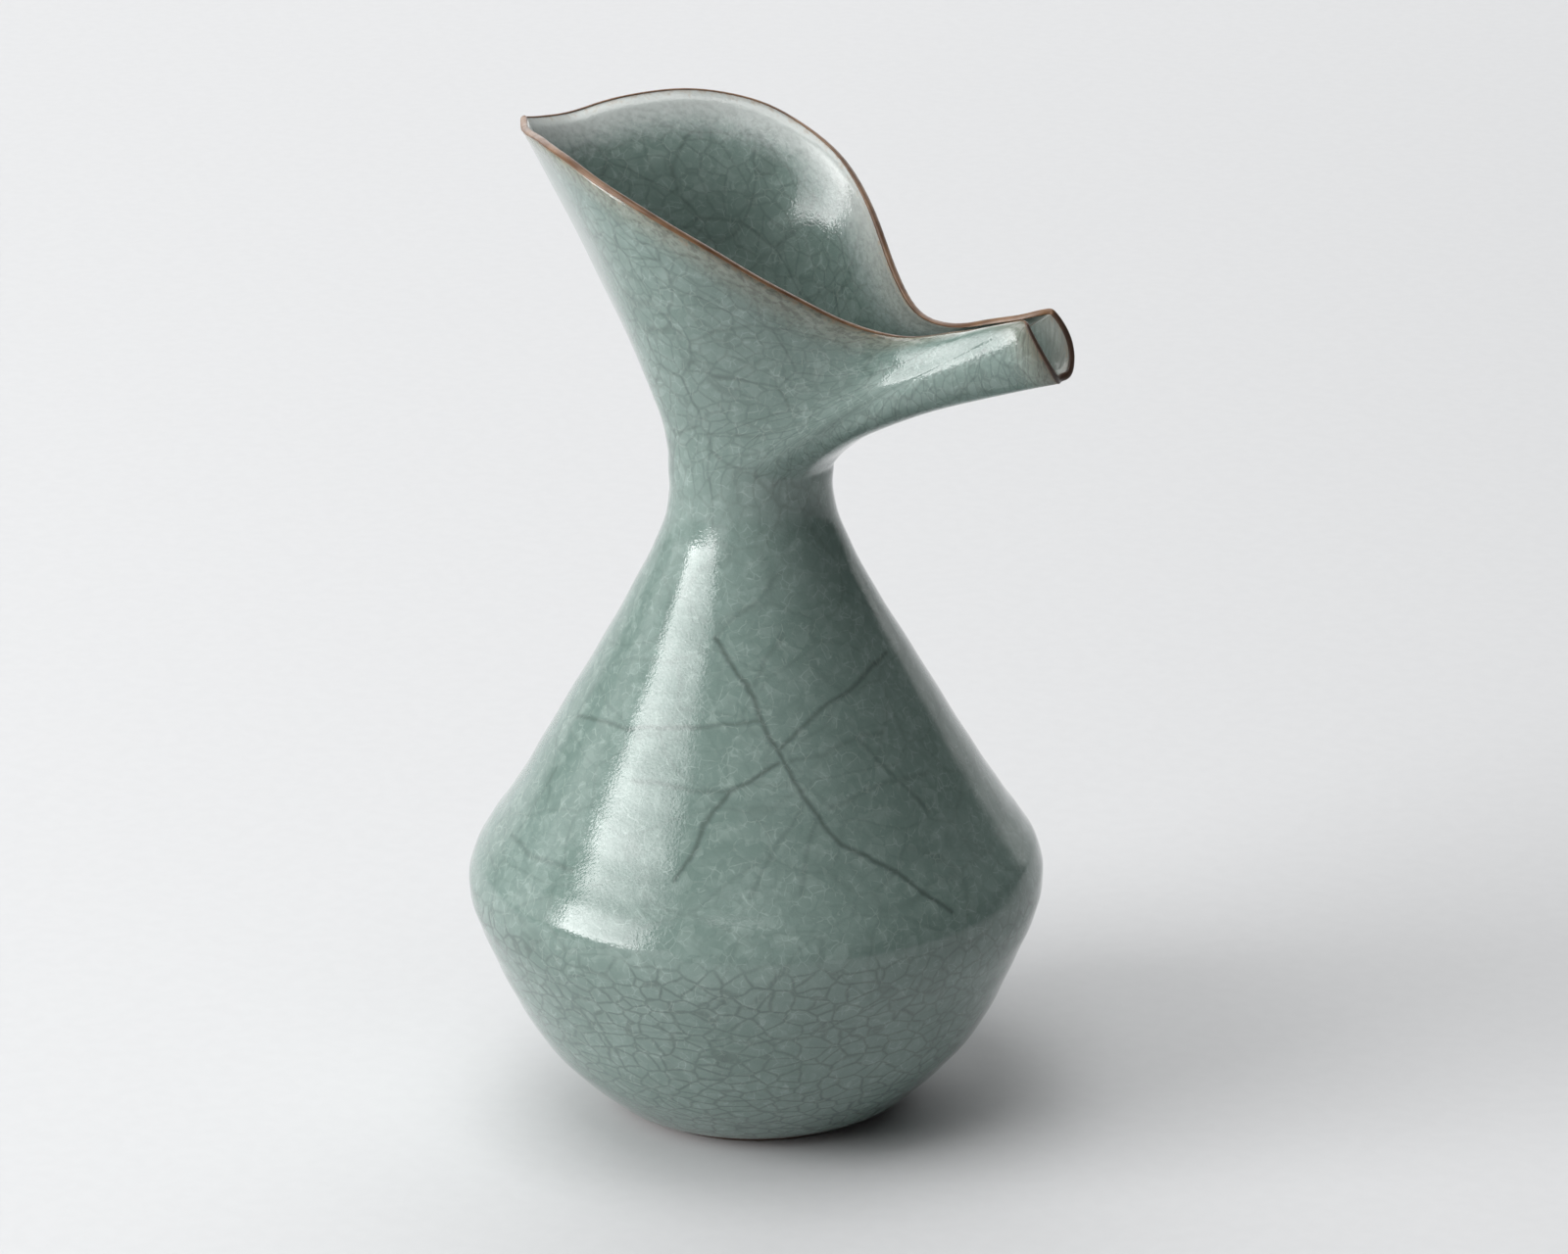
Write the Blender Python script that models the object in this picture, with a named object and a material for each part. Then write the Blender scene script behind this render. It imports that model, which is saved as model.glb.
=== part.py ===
"""Celadon sake bottle with an open, lily-like pouring mouth.

The bottle stands on z = 0 and pours towards +X.  It is built the way a potter builds it: thrown
clay sections luted together (foot, bowl, shoulder, neck, mouth), a pulled spout let into the front
of the mouth, a bare iron-brown lip, and one coat of glaze outside and one inside.
"""
import bpy
import numpy as np

MM = 0.001

# ---------------------------------------------------------------- driving dimensions, millimetres
GAP = 0.3              # between one layer or section and the next
GLAZE_BODY = 0.7       # coat on the bowl, shoulder and neck
GLAZE_LIP = 0.3        # coat where it runs thin at the lip and at the foot
CLAY_BODY = 2.4
CLAY_LIP = 0.9
FOOT_HEIGHT = 3.0
FOOT_BAND = 4.6        # width of the face that rests on the table
GLAZE_START = 1.6      # bare clay shows below this height
FLOOR_HEIGHT = 6.6     # top of the clay floor, at the edge of the floor
FLOOR_DISH = 0.8       # how much lower its middle is

# Thrown outside of the bottle: (radius, height) of the control points, from the table to the neck.
PROFILE = [
    (22.5, 0.0), (25.0, 1.5), (30.5, 6.0), (37.5, 13.0), (42.0, 21.0), (45.5, 29.0), (48.5, 36.0),
    (49.5, 41.0), (48.5, 45.5), (45.5, 50.0), (41.5, 55.5), (36.0, 65.0), (29.0, 77.0), (22.0, 89.0),
    (16.5, 99.5), (13.5, 107.5), (14.0, 114.0),
]
# The neck goes on upwards before it flares: a little at the spout, more at the back.
RISE_FRONT = 1.0
RISE_BACK = 6.5

# Half of the mouth, from under the spout round its side to the rear tip: (x, y, z) of the control
# points of the lip, and of the waist line that the wall bends through on its way up to the lip.
LIP = [
    (58.0, 0.0, 136.5), (59.5, 2.5, 136.0), (58.0, 6.0, 142.0), (54.0, 5.0, 147.5), (54.0, 3.5, 147.0),
    (41.5, 2.0, 143.0), (27.5, 6.5, 140.5), (17.0, 17.0, 150.0), (3.5, 29.0, 161.5),
    (-14.0, 30.0, 169.0), (-29.0, 19.5, 171.5), (-40.0, 6.5, 167.5), (-44.0, 0.0, 168.0),
]
WAIST = [
    (19.0, 0.0, 127.0), (20.5, 10.5, 128.0), (23.5, 14.0, 130.5), (27.0, 14.0, 133.5),
    (29.5, 13.0, 135.5), (28.0, 13.5, 137.0), (22.5, 16.5, 138.0), (13.0, 21.0, 140.0),
    (2.5, 24.5, 144.0), (-7.5, 24.5, 148.5), (-16.0, 19.5, 152.5), (-24.5, 10.5, 153.0),
    (-34.5, 0.0, 148.5),
]
BENDS = (0.42, 0.72)   # where the flare is sampled between the neck and the lip

# The hand-shaped sides of the spout, in millimetres and radians round the mouth from the spout
CHEEK_SWELL = 0.9      # a fuller cheek, this far below the lip
SWELL_TURN = (1.16, 0.17)
SWELL_BELOW = (7.0, 4.6)
LIP_CURL = 0.6         # the upper edges curl inwards
CURL_BELOW = 3.6
CURL_FROM = (0.85, 1.10)
CURL_TO = (1.25, 1.80)
# Extra clay inside the side walls of the mouth, a few millimetres under the lip
RIM_SWELL = 2.0
RIM_FROM = (0.9, 1.7)

# Seams, counted in control points up the wall (s) or round the lip (t)
S_NECK_TOP = len(PROFILE) - 1
S_LIP = S_NECK_TOP + len(BENDS) + 2
T_BACK = len(LIP) - 1
SEAM_KEEL = (7.43, 7.50)
SEAM_SHOULDER = (13.98, 14.02)
SEAM_NECK = (16.46, 16.51)
SEAM_SPOUT = (17.97, 18.01)
SEAM_LIP = (19.90, 19.93)
SPOUT_HALF = (5.96, 6.03)


# ------------------------------------------------------------------------------------ the surface
def spline(control, at):
    """Points of a uniform cubic B-spline; control holds one extra point beyond each end."""
    at = np.asarray(at, float)
    first = np.clip(at.astype(int), 0, len(control) - 4)
    u = at - first
    weights = (
        (1 - u) ** 3 / 6,
        (3 * u**3 - 6 * u**2 + 4) / 6,
        (-3 * u**3 + 3 * u**2 + 3 * u + 1) / 6,
        u**3 / 6,
    )
    shape = (len(at),) + (1,) * (control.ndim - 1)
    return sum(w.reshape(shape) * control[first + k] for k, w in enumerate(weights))


def half_line(points, pointed):
    """Control points of half a mouth line, carried on past the spout and past the back."""
    points = np.array(points)
    mirror = np.array([1.0, -1.0, 1.0])
    beyond = 2 * points[-1] - points[-2] if pointed else points[-2] * mirror
    return np.vstack([points[1] * mirror, points, beyond])


def half_skin(t, s):
    """The glazed outside at the stations t (0 under the spout, T_BACK at the rear tip) and s."""
    angle = np.pi * t / T_BACK
    ring = np.stack([np.cos(angle), np.sin(angle)], axis=1)
    rows = [np.column_stack([ring * r, np.full(len(t), z)]) for r, z in PROFILE]
    neck = rows[-1]
    rise = RISE_FRONT + (RISE_BACK - RISE_FRONT) * (1 - np.cos(angle)) / 2
    above = neck + np.column_stack([0 * rise, 0 * rise, rise])
    waist = spline(half_line(WAIST, pointed=False), t)
    lip = spline(half_line(LIP, pointed=True), t)
    rows.append(above)
    for u in BENDS:
        upper = 3 * u**2 * (1 - u) * waist + u**3 * lip
        rows.append((1 - u) ** 3 * neck + 3 * u * (1 - u) ** 2 * above + upper)
    rows.append(lip)
    rows = np.array(rows)
    ends = np.concatenate([[2 * rows[0] - rows[1]], rows, [2 * rows[-1] - rows[-2]]])
    return spline(ends, s)


def skin(t, s):
    """half_skin for any t from -T_BACK to T_BACK and a little beyond, as an array [s, t, xyz]."""
    folded = (np.asarray(t, float) + T_BACK) % (2 * T_BACK) - T_BACK
    points = half_skin(np.abs(folded), s)
    points[:, :, 1] *= np.where(folded < 0, -1.0, 1.0)
    return points


def inward(t, s):
    """Unit vectors across the wall, from the outside to the inside."""
    step = 0.02
    s = np.asarray(s, float)
    low = np.clip(s - step, 0, S_LIP)
    high = np.clip(s + step, 0, S_LIP)
    up = skin(t, high) - skin(t, low)
    # at the rear tip the two halves meet in a point, so the side step stays wide enough to span it
    round_it = skin(np.asarray(t) + 2 * step, s) - skin(np.asarray(t) - 2 * step, s)
    across = np.cross(up, round_it)
    return across / np.linalg.norm(across, axis=2, keepdims=True)


def blend(s, start, end):
    """0 up to start, 1 from end on, smooth in between."""
    u = np.clip((np.asarray(s, float) - start) / (end - start), 0, 1)
    return u * u * (3 - 2 * u)


def glaze_depth(s):
    thin = np.maximum(1 - blend(s, 0.0, 2.0), blend(s, 16.5, 19.4))
    return GLAZE_BODY + (GLAZE_LIP - GLAZE_BODY) * thin


def clay_depth(s):
    return CLAY_BODY + (CLAY_LIP - CLAY_BODY) * blend(s, 15.5, 19.2)


# How deep under the outside each face of each layer lies
DEPTHS = {
    "outer_out": lambda s: 0 * s,
    "outer_in": lambda s: glaze_depth(s),
    "clay_out": lambda s: glaze_depth(s) + GAP,
    "clay_in": lambda s: glaze_depth(s) + GAP + clay_depth(s),
    "inner_out": lambda s: glaze_depth(s) + 2 * GAP + clay_depth(s),
    "inner_in": lambda s: 2 * glaze_depth(s) + 2 * GAP + clay_depth(s),
}


# -------------------------------------------------------------------------------------- the grid
def columns():
    """Stations round the bottle: even steps, with a narrow column at each edge of the spout."""
    low, high = SPOUT_HALF
    half = list(np.linspace(0, low, 17)) + list(np.linspace(high, T_BACK, 12))
    return np.array([-t for t in half[-2:0:-1]] + half)


T = columns()


# Millimetres of wall for one step of s just under the lip, for each column
LIP_PITCH = np.linalg.norm(skin(T, [S_LIP - 0.1])[0] - skin(T, [S_LIP])[0], axis=1) / 0.1


def hump(x, middle, width):
    return np.exp(-(((x - middle) / width) ** 2))


def spout_shape(s):
    """How far the sides of the spout stand out beyond the skin, [s, t]."""
    half = np.abs(T)[None, :] * np.pi / T_BACK
    s = s[:, None]
    below = (S_LIP - s) * LIP_PITCH
    cheek = hump(half, *SWELL_TURN) * hump(below, *SWELL_BELOW) * blend(below, 0.0, 3.0)
    curl = below / CURL_BELOW * np.exp(1 - below / CURL_BELOW)
    curl = curl * blend(half, *CURL_FROM) * (1 - blend(half, *CURL_TO))
    return CHEEK_SWELL * cheek + LIP_CURL * curl


def rim_swell(s):
    """Extra clay inside the mouth, gone at the lip and at the spout, so that the rim opens outwards."""
    half = np.abs(T)[None, :] * np.pi / T_BACK
    s = s[:, None]
    rise = blend(s, 17.2, 19.2) * (1 - np.clip((s - 19.0) / 0.88, 0, 1) ** 2)
    return RIM_SWELL * rise * blend(half, *RIM_FROM)


def layer(name, s):
    """Points of one face of a layer, [s, t, xyz] in millimetres."""
    s = np.asarray(s, float)
    depth = DEPTHS[name](s)[:, None] - spout_shape(s)
    if name in ("clay_in", "inner_out", "inner_in"):
        depth = depth + rim_swell(s)
    return skin(T, s) + inward(T, s) * depth[:, :, None]


def station_at(name, height):
    """Station of the thrown wall where one face of a layer passes a height."""
    s = np.linspace(0, 4, 201)
    return float(np.interp(height, layer(name, s)[:, 0, 2], s))


S_GLAZE = station_at("outer_out", GLAZE_START)
S_FOOT = station_at("clay_out", FOOT_HEIGHT)
S_BOWL = station_at("clay_out", FOOT_HEIGHT + GAP)
S_FLOOR = station_at("clay_in", FLOOR_HEIGHT)
BOWL_ROWS = [S_BOWL, 2.7, 3.5, 4.5, 5.6, 6.6, SEAM_KEEL[0]]
SHOULDER_ROWS = [SEAM_KEEL[1], 8.3, 9.4, 11.0, 12.5, SEAM_SHOULDER[0]]
NECK_ROWS = [SEAM_SHOULDER[1], 14.9, 15.7, SEAM_NECK[0]]
MOUTH_ROWS = [
    SEAM_NECK[1], 16.9, 17.4, SEAM_SPOUT[0], SEAM_SPOUT[1], 18.4, 18.8, 19.1, 19.4, 19.65, SEAM_LIP[0],
]

# -------------------------------------------------------------------------------------- building
def material(name, colour, roughness, metallic=0.0):
    made = bpy.data.materials.new(name)
    made.use_nodes = True
    shader = made.node_tree.nodes["Principled BSDF"]
    shader.inputs["Base Color"].default_value = (*colour, 1.0)
    shader.inputs["Roughness"].default_value = roughness
    shader.inputs["Metallic"].default_value = metallic
    made.diffuse_color = (*colour, 1.0)
    return made


def add_object(name, points, faces, colour, roughness):
    """One closed, smooth-shaded object from points in millimetres."""
    mesh = bpy.data.meshes.new(name)
    points = (np.asarray(points) + (AXIS_X, 0.0, 0.0)) * MM
    mesh.from_pydata(points.tolist(), [], faces)
    mesh.validate()
    mesh.shade_smooth()
    mesh.set_sharp_from_angle(angle=np.radians(40))
    mesh.materials.append(material(name, colour, roughness))
    made = bpy.data.objects.new(name, mesh)
    bpy.context.scene.collection.objects.link(made)
    return made


def bridge(first, second, count):
    """Quads between two closed rings of point numbers."""
    return [
        (first + j, first + (j + 1) % count, second + (j + 1) % count, second + j)
        for j in range(count)
    ]


def turned(name, rings, colour, roughness, closed):
    """A body swept through rings of points.  Unless closed, its first and last rings are capped."""
    count = len(rings[0])
    points = [p for ring in rings for p in ring]
    faces = []
    for i in range(len(rings) - 1):
        faces += bridge(i * count, (i + 1) * count, count)
    if closed:
        faces += bridge((len(rings) - 1) * count, 0, count)
    else:
        for start, flip in ((0, True), ((len(rings) - 1) * count, False)):
            middle = len(points)
            points.append(np.mean(points[start : start + count], axis=0))
            for j in range(count):
                edge = (start + j, start + (j + 1) % count)
                faces.append((edge[1], edge[0], middle) if flip else (edge[0], edge[1], middle))
    return add_object(name, points, faces, colour, roughness)


def walled(name, outside, inside, colour, roughness, keep=None):
    """A wall between two grids [s, t, xyz], of the cells that keep(i, j) accepts."""
    rows, count = outside.shape[:2]
    cells = {(i, j) for i in range(rows - 1) for j in range(count) if keep is None or keep(i, j)}
    points = []
    number = {}

    def at(side, i, j):
        key = (side, i, j % count)
        if key not in number:
            number[key] = len(points)
            points.append((outside if side == 0 else inside)[i, j % count])
        return number[key]

    faces = []
    for i, j in sorted(cells):
        faces.append((at(0, i, j), at(0, i, j + 1), at(0, i + 1, j + 1), at(0, i + 1, j)))
        faces.append((at(1, i, j), at(1, i + 1, j), at(1, i + 1, j + 1), at(1, i, j + 1)))
        if (i - 1, j) not in cells:
            faces.append((at(0, i, j), at(1, i, j), at(1, i, j + 1), at(0, i, j + 1)))
        if (i + 1, j) not in cells:
            faces.append((at(0, i + 1, j + 1), at(1, i + 1, j + 1), at(1, i + 1, j), at(0, i + 1, j)))
        if (i, (j - 1) % count) not in cells:
            faces.append((at(0, i + 1, j), at(1, i + 1, j), at(1, i, j), at(0, i, j)))
        if (i, (j + 1) % count) not in cells:
            faces.append((at(0, i, j + 1), at(1, i, j + 1), at(1, i + 1, j + 1), at(0, i + 1, j + 1)))
    return add_object(name, points, faces, colour, roughness)


def flat_ring(radius, height):
    angle = np.pi * T / T_BACK
    return np.column_stack([radius * np.cos(angle), radius * np.sin(angle), np.full(len(T), height)])


def dished(edge):
    """Rings from the edge of a floor in to its middle, dropping gently."""
    radius = np.linalg.norm(edge[:, :2], axis=1).mean()
    height = edge[:, 2].mean()
    return [flat_ring(radius * u, height - FLOOR_DISH * (1 - u * u)) for u in (0.75, 0.45, 0.15)]


def clear_scene():
    for item in list(bpy.data.objects):
        bpy.data.objects.remove(item, do_unlink=True)


BARE_CLAY = (0.10, 0.055, 0.03)
BODY_CLAY = (0.30, 0.27, 0.24)
CELADON = (0.27, 0.36, 0.32)
LIP_BROWN = (0.24, 0.12, 0.06)

clear_scene()

# The turning axis lies behind the middle of the bottle by half of what the spout overhangs.
widest = skin([T_BACK], np.linspace(0, S_NECK_TOP, 401))[:, 0, 0].min()
furthest = skin(T, [S_LIP])[0, :, 0].max()
AXIS_X = -(widest + furthest) / 2

# Foot: a low ring with a hollow inside it, so that it rests on a narrow band.
foot_rows = layer("clay_out", [0.0, S_GLAZE, S_FOOT])
foot_edge = np.linalg.norm(foot_rows[0][:, :2], axis=1).mean() - 0.5
foot_inside = foot_edge - FOOT_BAND
turned(
    "foot_ring",
    [
        flat_ring(foot_edge, 0.0), *foot_rows,
        flat_ring(foot_inside - 0.6, FOOT_HEIGHT), flat_ring(foot_inside, 0.0),
    ],
    BARE_CLAY, 0.75, closed=True,
)

# Bowl: from the base plate out to the keel, then down the inside to the floor.
inside_rows = [S_FLOOR, *BOWL_ROWS[1:]]
bowl_out = layer("clay_out", BOWL_ROWS)
bowl_in = layer("clay_in", inside_rows)
turned(
    "lower_bowl",
    [flat_ring(foot_inside - 0.6, FOOT_HEIGHT + GAP), *bowl_out, *bowl_in[::-1], *dished(bowl_in[0])],
    BODY_CLAY, 0.7, closed=False,
)

for part_name, part_rows in (("shoulder_cone", SHOULDER_ROWS), ("neck_collar", NECK_ROWS)):
    walled(part_name, layer("clay_out", part_rows), layer("clay_in", part_rows), BODY_CLAY, 0.7)

# Mouth and spout share one grid; the seams between them are the narrow rows and columns.
mouth_out = layer("clay_out", MOUTH_ROWS)
mouth_in = layer("clay_in", MOUTH_ROWS)
first_spout_row = MOUTH_ROWS.index(SEAM_SPOUT[1])
t_middle = (T + np.roll(T, -1)) / 2
t_middle[-1] = T_BACK
spout_column = np.abs(t_middle) < SPOUT_HALF[0]
mouth_column = np.abs(t_middle) > SPOUT_HALF[1]


def in_spout(i, j):
    return i >= first_spout_row and spout_column[j]


def in_mouth(i, j):
    return i < first_spout_row - 1 or mouth_column[j]


walled("flared_mouth", mouth_out, mouth_in, BODY_CLAY, 0.7, in_mouth)
walled("pouring_spout", mouth_out, mouth_in, BODY_CLAY, 0.7, in_spout)

# Lip: a rounded bead of bare clay on the edge of the wall, round the mouth and the spout's end.
edge_rows = [SEAM_LIP[1], 19.97, S_LIP]
edge_s = np.array(edge_rows)
edge_across = inward(T, edge_s)
edge_outside = skin(T, edge_s) - edge_across * spout_shape(edge_s)[:, :, None]
lip_depth = float(DEPTHS["inner_in"](np.array([SEAM_LIP[1]]))[0])


def lip_ring(row, share):
    return edge_outside[row] + edge_across[row] * lip_depth * share


turned(
    "lip_bead",
    [
        lip_ring(0, 0.0), lip_ring(1, 0.02), lip_ring(2, 0.25),
        lip_ring(2, 0.75), lip_ring(1, 0.98), lip_ring(0, 1.0),
    ],
    LIP_BROWN, 0.5, closed=True,
)

# Glaze: the same rows as the clay under it, so the layers stay parallel.
body_rows = [*BOWL_ROWS, *SHOULDER_ROWS, *NECK_ROWS, *MOUTH_ROWS]
coat_rows = [S_GLAZE, S_FOOT, *body_rows]
walled("outer_glaze", layer("outer_out", coat_rows), layer("outer_in", coat_rows), CELADON, 0.12)

lining_rows = [S_FLOOR, *body_rows[1:]]
lining_out = layer("inner_out", lining_rows)
lining_in = layer("inner_in", lining_rows)
turned(
    "inner_glaze",
    [*dished(lining_out[0])[::-1], *lining_out, *lining_in[::-1], *dished(lining_in[0])],
    CELADON, 0.12, closed=False,
)
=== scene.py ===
import math

import bpy
import numpy as np
from mathutils import Matrix, Vector


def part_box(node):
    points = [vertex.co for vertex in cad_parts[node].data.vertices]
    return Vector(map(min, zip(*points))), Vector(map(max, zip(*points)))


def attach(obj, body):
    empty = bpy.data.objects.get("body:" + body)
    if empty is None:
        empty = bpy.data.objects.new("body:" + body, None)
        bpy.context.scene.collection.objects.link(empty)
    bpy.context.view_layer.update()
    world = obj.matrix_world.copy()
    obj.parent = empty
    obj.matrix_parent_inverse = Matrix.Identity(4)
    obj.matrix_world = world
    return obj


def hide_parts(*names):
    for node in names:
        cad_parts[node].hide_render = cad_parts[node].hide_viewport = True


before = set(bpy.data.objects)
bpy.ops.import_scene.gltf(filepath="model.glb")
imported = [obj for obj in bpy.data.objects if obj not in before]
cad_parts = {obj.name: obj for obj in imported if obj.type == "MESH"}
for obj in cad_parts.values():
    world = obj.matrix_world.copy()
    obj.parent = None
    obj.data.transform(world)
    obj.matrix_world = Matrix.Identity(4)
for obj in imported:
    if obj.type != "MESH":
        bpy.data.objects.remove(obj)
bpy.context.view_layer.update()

MM = 0.001

# ------------------------------------------------------------------ shape of the bottle, millimetres
# The same control points as the CAD: the thrown wall, then half of the lip and of the waist line.
PROFILE = [
    (22.5, 0.0), (25.0, 1.5), (30.5, 6.0), (37.5, 13.0), (42.0, 21.0), (45.5, 29.0), (48.5, 36.0),
    (49.5, 41.0), (48.5, 45.5), (45.5, 50.0), (41.5, 55.5), (36.0, 65.0), (29.0, 77.0), (22.0, 89.0),
    (16.5, 99.5), (13.5, 107.5), (14.0, 114.0),
]
RISE_FRONT = 1.0
RISE_BACK = 6.5
LIP = [
    (58.0, 0.0, 136.5), (59.5, 2.5, 136.0), (58.0, 6.0, 142.0), (54.0, 5.0, 147.5), (54.0, 3.5, 147.0),
    (41.5, 2.0, 143.0), (27.5, 6.5, 140.5), (17.0, 17.0, 150.0), (3.5, 29.0, 161.5),
    (-14.0, 30.0, 169.0), (-29.0, 19.5, 171.5), (-40.0, 6.5, 167.5), (-44.0, 0.0, 168.0),
]
WAIST = [
    (19.0, 0.0, 127.0), (20.5, 10.5, 128.0), (23.5, 14.0, 130.5), (27.0, 14.0, 133.5),
    (29.5, 13.0, 135.5), (28.0, 13.5, 137.0), (22.5, 16.5, 138.0), (13.0, 21.0, 140.0),
    (2.5, 24.5, 144.0), (-7.5, 24.5, 148.5), (-16.0, 19.5, 152.5), (-24.5, 10.5, 153.0),
    (-34.5, 0.0, 148.5),
]
BENDS = (0.42, 0.72)
T_BACK = len(LIP) - 1
S_LIP = len(PROFILE) + len(BENDS) + 1

# Heights up the wall are stations: the number of the control point, counted from the table.  Angles
# round the bottle are radians from the spout.  A pair (start, end) is where something fades in or out.

# the wall
WALL_BODY = 4.4             # whole wall of the bowl and shoulder: clay and both coats of glaze
WALL_LIP = 1.15
WALL_THINS = (15.5, 19.3)   # stations between which it thins
SPOUT_THINNER = 0.35        # how much thinner it is along the upper edges of the spout
SPOUT_EDGES = (1.15, 0.45)  # where they run: middle and half width
RIM_SWELL = 2.0             # extra wall inside the mouth, a few millimetres under the lip
RIM_RISE = (17.2, 19.2)
RIM_FALL = (19.0, 0.88)     # station where it starts to shrink, and over how much it is gone
RIM_FROM = (0.9, 1.7)
RIM_TIP = (0.02, 0.55)      # the same, from the rear tip

# the coats of glaze, the bare lip and the foot
COAT_BODY = 0.62
COAT_LIP = 0.45
COAT_THINS = (16.5, 19.5)
COAT_END = 0.25             # how far below the lip both coats end
OUTSIDE_START = 0.75        # station of the outer coat's lower edge
OUTSIDE_ROLL = 0.02         # share of its rows in its rolled lower edge
LINING_START = 1.55         # station where the lining meets the floor
FLOOR_DISH = 0.8            # how much lower the middle of the floor is
FLOOR_RINGS = (0.06, 0.2, 0.4, 0.6, 0.8)   # shares of the floor's radius
LIP_BAND = 0.38             # how far the bare lip reaches down from the edge
LIP_BAND_END = 0.40         # the same round the cut end of the spout
LIP_PROUD = 0.05            # how far the lip stands out beyond the glaze
LIP_RINGS = 15
END_CUT = (2.7, 3.4)        # control points of the lip where the cut end gives way to the rim
FOOT_BAND = 4.6             # width of the ring that rests on the table
FOOT_FLARE = 3.4            # how far the foot widens above it

# the hidden clay between the coats in the mouth
CORE_ROWS = 40
CORE_START = 16.51          # station just above the neck collar
CORE_END = 0.6              # millimetres below the lip
CORE_COVER = 0.85           # how deep under each coat's face it lies
CORE_COVER_LIP = 0.60
CORE_THINS = (16.5, 19.3)

# the hand-shaped sides of the spout, in millimetres
SPOUT_RISE = (17.2, 18.8)   # stations over which the spout grows out of the mouth
CHEEK_HOLLOW = 0.8          # a shallow hollow low on each side: depth, middle and half width
HOLLOW_TURN = (0.83, 0.32)
HOLLOW_CLEAR = 6.0          # it fades out this near to the lip
CHEEK_SWELL = 0.9           # a fuller cheek above it, by how far round and how far below the lip
SWELL_TURN = (1.16, 0.17)
SWELL_BELOW = (7.0, 4.6)
CHEEK_CLEAR = 3.0
LIP_CURL = 0.6              # the upper edges curl inwards, fullest this far below the lip
CURL_BELOW = 3.6
CURL_FROM = (0.85, 1.10)
CURL_TO = (1.25, 1.80)

# The long dark cracks of the shoulder: how dark each is, then (angle from the spout in degrees, height).
CRACK_WEB = [
    (1.00, [(-77, 90), (-63, 83), (-53, 74), (-47, 67), (-39, 60), (-27, 54), (-17, 47)]),
    (0.80, [(-53, 74), (-37, 79), (-18, 82), (3, 84)]),
    (0.90, [(-53, 72), (-61, 70), (-67, 68), (-73, 63), (-78, 55)]),
    (0.50, [(-67, 68), (-79, 68), (-96, 68)]),
    (0.70, [(-58, 78), (-80, 77), (-105, 75), (-131, 73)]),
    (0.40, [(-52, 72), (-38, 73), (-17, 74)]),
    (0.40, [(-47, 66), (-51, 63), (-58, 57), (-61, 53)]),
    (0.40, [(-44, 64), (-47, 59), (-50, 53)]),
    (0.40, [(-61, 83), (-55, 87), (-47, 91)]),
    (0.50, [(-26, 74), (-17, 67), (-11, 61)]),
    (0.40, [(-40, 65), (-22, 67), (-6, 66)]),
    (0.50, [(-132, 53), (-119, 53), (-105, 53)]),
    (0.40, [(-77, 90), (-61, 95), (-43, 100)]),
    (0.35, [(-127, 65), (-129, 60), (-130, 54)]),
]

COLUMNS = 256          # mesh columns round the bottle, and rows up the wall
ROWS = 150

low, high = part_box("lower_bowl")
AXIS_X = (low[0] + high[0]) / 2 / MM


def spline(control, at):
    at = np.asarray(at, float)
    first = np.clip(at.astype(int), 0, len(control) - 4)
    u = at - first
    weights = spline_weights(u)
    return sum(w[:, None] * control[first + k] for k, w in enumerate(weights))


def spline_weights(u):
    return (
        (1 - u) ** 3 / 6,
        (3 * u**3 - 6 * u**2 + 4) / 6,
        (-3 * u**3 + 3 * u**2 + 3 * u + 1) / 6,
        u**3 / 6,
    )


def half_line(points, pointed):
    points = np.array(points)
    mirror = np.array([1.0, -1.0, 1.0])
    beyond = 2 * points[-1] - points[-2] if pointed else points[-2] * mirror
    return np.vstack([points[1] * mirror, points, beyond])


def skin(t, s):
    """The glazed outside, [row, column, xyz].  s is one station per row, or one per row and column."""
    folded = (np.asarray(t, float) + T_BACK) % (2 * T_BACK) - T_BACK
    half = np.abs(folded)
    angle = np.pi * half / T_BACK
    ring = np.stack([np.cos(angle), np.sin(angle)], axis=1)
    rows = [np.column_stack([ring * r, np.full(len(half), z)]) for r, z in PROFILE]
    neck = rows[-1]
    rise = RISE_FRONT + (RISE_BACK - RISE_FRONT) * (1 - np.cos(angle)) / 2
    above = neck + np.column_stack([0 * rise, 0 * rise, rise])
    waist = spline(half_line(WAIST, pointed=False), half)
    lip = spline(half_line(LIP, pointed=True), half)
    rows.append(above)
    for u in BENDS:
        rows.append(
            (1 - u) ** 3 * neck + 3 * u * (1 - u) ** 2 * above + 3 * u**2 * (1 - u) * waist + u**3 * lip
        )
    rows.append(lip)
    control = np.array(rows)
    control = np.concatenate([[2 * control[0] - control[1]], control, [2 * control[-1] - control[-2]]])
    s = np.asarray(s, float)
    if s.ndim == 1:
        s = np.repeat(s[:, None], len(half), axis=1)
    first = np.clip(s.astype(int), 0, len(control) - 4)
    column = np.arange(len(half))[None, :]
    weights = spline_weights(s - first)
    points = sum(w[:, :, None] * control[first + k, column] for k, w in enumerate(weights))
    points[:, :, 1] *= np.where(folded < 0, -1.0, 1.0)
    return points


def inward(t, s):
    """Unit vectors across the wall, from the outside to the inside."""
    step = 0.02
    s = np.asarray(s, float)
    t = np.asarray(t, float)
    up = skin(t, np.clip(s + step, 0, S_LIP)) - skin(t, np.clip(s - step, 0, S_LIP))
    round_it = skin(t + 2 * step, s) - skin(t - 2 * step, s)
    across = np.cross(up, round_it)
    return across / np.linalg.norm(across, axis=2, keepdims=True)


def smooth(x, start, end):
    u = np.clip((x - start) / (end - start), 0, 1)
    return u * u * (3 - 2 * u)


def hump(x, middle, width):
    return np.exp(-(((x - middle) / width) ** 2))


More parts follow.
